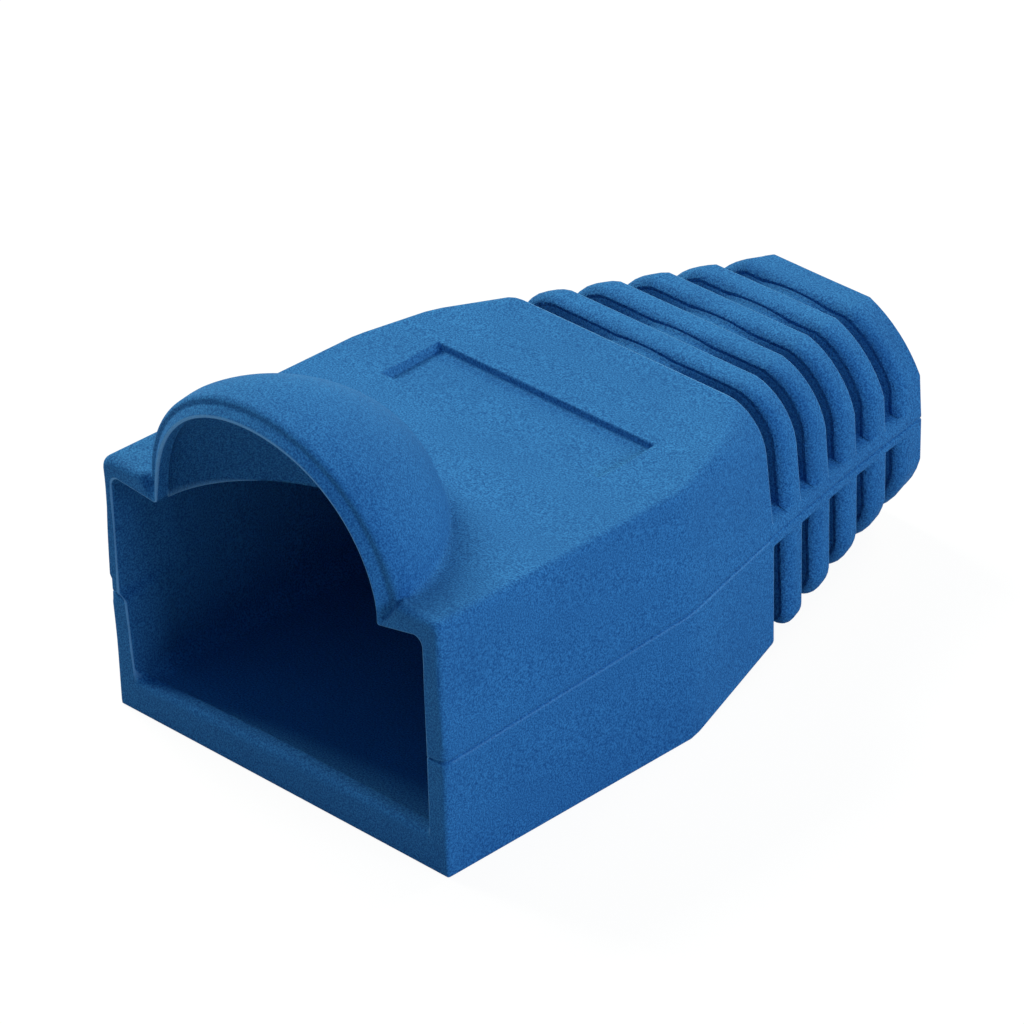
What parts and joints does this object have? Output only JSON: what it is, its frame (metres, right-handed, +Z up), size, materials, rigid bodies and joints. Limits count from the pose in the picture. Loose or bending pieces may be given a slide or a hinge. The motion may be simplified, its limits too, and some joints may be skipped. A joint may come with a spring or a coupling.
{
  "type": "rj45 strain relief boot",
  "caption": "Soft moulded boot that slips over a modular network plug: a box-shaped mouth with a domed hood for the latch, tapering to a ribbed tail with a round cable bore.",
  "frame": {"origin": "middle of the bounding box's bottom face, on the flat underside that the boot rests on", "axes": "+Y from the plug mouth to the cable end, +X across the boot, +Z up to the latch hood"},
  "size_m": [0.0136, 0.0228, 0.0126],
  "materials": {
    "soft_pvc": "matt moulded, with a fine spark-eroded grain, coarser in the grooves"
  },
  "bodies": {
    "root": {"boot": "soft_pvc"}
  },
  "joints": []
}
